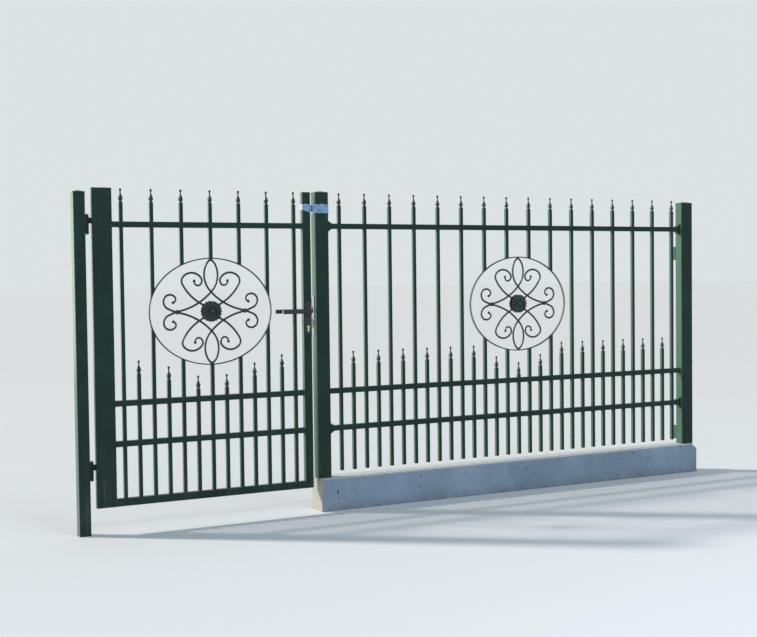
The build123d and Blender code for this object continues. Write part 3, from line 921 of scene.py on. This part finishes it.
def wound_tape(node, name, body, slope):
    """Tape wound round an upright, wrinkled. slope, from 0 to 1, lifts the left of its lower edge."""
    low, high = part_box(node)
    middle = (low + high) / 2
    half_x = (high.x - low.x) / 2
    half_y = (high.y - low.y) / 2
    girth = 4 * (half_x + half_y)
    band = circle(tape_columns, 1)
    shape(band)
    for row in range(tape_rows):
        bpy.ops.mesh.extrude_region_move()
        bpy.ops.transform.translate(value=(0, 0, 1.0))
    leave()
    for corner in band.data.vertices:
        x, y, z = corner.co
        place, outward = tape_course((atan2(y, x) / (2 * pi)) % 1.0 * girth, half_x, half_y)
        share = (place.x + half_x) / (2 * half_x)
        bottom = low.z + tape_margin + slope * (1 - share) * tape_slant
        top = high.z - tape_margin - tape_wave * sin(9 * share + slope)
        height = bottom + (top - bottom) * z / tape_rows
        folds = noise.noise(Vector((place.x * 70, place.y * 70, height * 160)))
        crease = sin(420 * (height + 0.25 * place.x) + 3 * folds)
        lift = 0.00015 + 0.0006 * (0.5 + 0.5 * folds) + 0.00035 * crease
        at = place + outward * lift
        corner.co = (middle.x + at.x, middle.y + at.y, height)
    give_wall(band, tape_thickness, -1)
    face_outwards(band)
    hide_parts(node)
    settle(band, name, body, tape, 60)


def tape_flap(name, body, start_x, end_x, y, low, high):
    """Loose torn end of the tape, reaching a little way across the gap."""
    deselect_all()
    bpy.ops.mesh.primitive_grid_add(x_subdivisions=14, y_subdivisions=18, size=2, location=(0, 0, 0))
    flap = newest()
    for corner in flap.data.vertices:
        along = (corner.co.x + 1) / 2
        row = (corner.co.y + 1) / 2
        ragged = 0.0028 * noise.noise(Vector((row * 9, 3.0, end_x * 50))) if along > 0.95 else 0.0
        x = start_x + (end_x - start_x) * along + ragged
        z = low + (high - low) * row + 0.002 * along * (0.5 - row)
        ripple = 0.0011 * noise.noise(Vector((x * 120, row * 6, 1.0))) + 0.0009 * sin(row * 17) * along
        corner.co = (x, y + ripple, z)
    give_wall(flap, tape_thickness, 0)
    face_outwards(flap)
    settle(flap, name, body, tape, 60)


def torn_tape():
    """The wrap on each upright and the torn ends that hang into the gap between them."""
    wound_tape("tape_on_post", "wrinkled_tape_on_post", "posts_and_fence", 0.0)
    wound_tape("tape_on_stile", "wrinkled_tape_on_stile", "leaf", 1.0)
    low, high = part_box("tape_on_post")
    tape_flap(
        "tape_end_on_post", "posts_and_fence", start_x=low.x + 0.006, end_x=-0.0565,
        y=low.y - 0.001, low=low.z + 0.004, high=high.z - 0.003)
    low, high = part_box("tape_on_stile")
    tape_flap(
        "tape_end_on_stile", "leaf", start_x=high.x - 0.006, end_x=-0.0475,
        y=low.y - 0.001, low=low.z + 0.006, high=high.z - 0.005)


def worn_plinth():
    """The cast plinth with its edges crumbled and its faces uneven, inside the plain block."""
    block = nodes["plinth"].copy()
    block.data = nodes["plinth"].data.copy()
    bpy.context.scene.collection.objects.link(block)
    block.hide_render = False
    shape(block)
    bpy.ops.mesh.remove_doubles(threshold=0.00001)
    leave()
    grid = block.modifiers.new("grid", "REMESH")
    grid.mode = "VOXEL"
    grid.voxel_size = plinth_grid
    bpy.ops.object.modifier_apply(modifier=grid.name)
    low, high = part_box("plinth")
    normals = [Vector(corner.normal) for corner in block.data.vertices]
    for corner, normal in zip(block.data.vertices, normals):
        place = corner.co.copy()
        if place.z < low.z + 0.004:
            hollow = 0.0006
        else:
            broad = noise.noise(place * 5.0)
            fine = noise.noise(place * 38.0)
            calm = min(1.0, 0.15 + max(0.0, high.z - 0.012 - place.z) / 0.05)
            from_dent = noise.voronoi(place * dents_per_metre)[0][0] / dents_per_metre
            dent = max(0.0, 1 - from_dent / dent_radius) * dent_depth
            hollow = plinth_skin + (0.0008 + 0.0010 * broad + 0.0006 * fine + dent) * calm
        place -= normal * hollow
        place.z = max(place.z, low.z)
        corner.co = place
    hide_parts("plinth")
    settle(block, "worn_plinth", "posts_and_fence", concrete, 50)


# Pieces that dress the plain solids
for side, body, seats in (("leaf", "leaf", leaf_seats), ("fence", "posts_and_fence", fence_seats)):
    scrolls(side, body)
    rosettes(side, body)
    ring_welds(side, body, seats)
leaf_rails = ["leaf_bottom_rail", "leaf_lower_rail", "leaf_middle_rail", "leaf_top_rail"]
fence_rails = ["fence_lower_rail", "fence_middle_rail", "fence_top_rail"]
leaf_ends = (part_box("hinge_stile")[1].x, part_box("latch_stile")[0].x)
fence_ends = (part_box("latch_post")[1].x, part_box("end_post")[0].x)
rail_welds("leaf_rail_welds", "leaf", leaf_rails, leaf_ends)
rail_welds("fence_rail_welds", "posts_and_fence", fence_rails, fence_ends)
lock_details()
plate_openings()
for side in ("upper", "lower"):
    hinge_details(side)
torn_tape()
end_post_brackets()
worn_plinth()

# Floor, light and backdrop
gate_middle = Vector((0.6, 0, 0.9))
deselect_all()
bpy.ops.mesh.primitive_plane_add(size=240, location=(0, 12, 0))
floor = newest()
floor.name = "floor"
floor.data.materials.append(pale_floor())


def hang(name, light, way, place=(0, 0, 0)):
    """Puts a light in the scene, turned to shine along way."""
    holder = bpy.data.objects.new(name, light)
    bpy.context.scene.collection.objects.link(holder)
    holder.location = place
    holder.rotation_euler = Vector(way).to_track_quat("-Z", "Y").to_euler()
    return holder


def lamp(name, place, width, height, power, colour):
    """Soft panel of light turned towards the middle of the gate, which the camera doesn't see."""
    light = bpy.data.lights.new(name, "AREA")
    light.shape = "RECTANGLE"
    light.size = width
    light.size_y = height
    light.energy = power
    light.color = colour
    panel = hang(name, light, gate_middle - Vector(place), place)
    panel.visible_camera = False
    return panel


def sun(name, way, strength, spread, colour):
    """Even light along way. spread is the width of the sun in degrees."""
    light = bpy.data.lights.new(name, "SUN")
    light.energy = strength
    light.angle = radians(spread)
    light.color = colour
    hang(name, light, way)


sun("key", way=(0.70, -0.50, -0.52), strength=3.0, spread=4, colour=(1.0, 0.97, 0.91))
side_panel = lamp(
    "side_panel", place=(-4.2, 8.2, 1.5), width=5.0, height=2.6, power=75, colour=(0.84, 1.0, 0.88))
side_panel.visible_diffuse = False  # only glossy faces mirror it, the floor stays even
lamp("sky_panel", place=(1.2, -7.0, 4.8), width=3.0, height=1.3, power=150, colour=(0.58, 0.79, 1.0))

# The sky lights the gate softly, and is brighter where it is seen or mirrored
world = bpy.data.worlds.new("studio")
bpy.context.scene.world = world
sky = Graph(world)
ambient = sky.node("ShaderNodeBackground", {}, {"Color": (0.80, 0.91, 1.0), "Strength": 0.42})
backdrop = sky.node("ShaderNodeBackground", {}, {"Color": (0.72, 0.758, 0.766), "Strength": 1.0})
ray = sky.node("ShaderNodeLightPath")
shown = Value(sky, ray.outputs["Is Camera Ray"])
for kind in ("Is Glossy Ray", "Is Transmission Ray"):
    shown = shown.maths("MAXIMUM", shown, ray.outputs[kind])
shades = {"Fac": shown, 1: ambient.outputs[0], 2: backdrop.outputs[0]}
blend = sky.node("ShaderNodeMixShader", {}, shades)
sky.node("ShaderNodeOutputWorld", {}, {"Surface": blend.outputs[0]})

# Camera
ahead = Vector((
    sin(camera_yaw) * cos(camera_pitch),
    cos(camera_yaw) * cos(camera_pitch),
    -sin(camera_pitch),
))
level_right = Vector((cos(camera_yaw), -sin(camera_yaw), 0))
level_up = level_right.cross(ahead)
right = level_right * cos(camera_roll) + level_up * sin(camera_roll)
up = level_up * cos(camera_roll) - level_right * sin(camera_roll)
view = bpy.data.cameras.new("camera")
view.lens = camera_lens
view.sensor_width = 36
camera = bpy.data.objects.new("camera", view)
bpy.context.scene.collection.objects.link(camera)
camera_turn = Matrix((right, up, -ahead)).transposed().to_4x4()
camera.matrix_world = Matrix.Translation(camera_place) @ camera_turn
bpy.context.scene.camera = camera
bpy.context.scene.view_settings.view_transform = "Standard"

deselect_all()
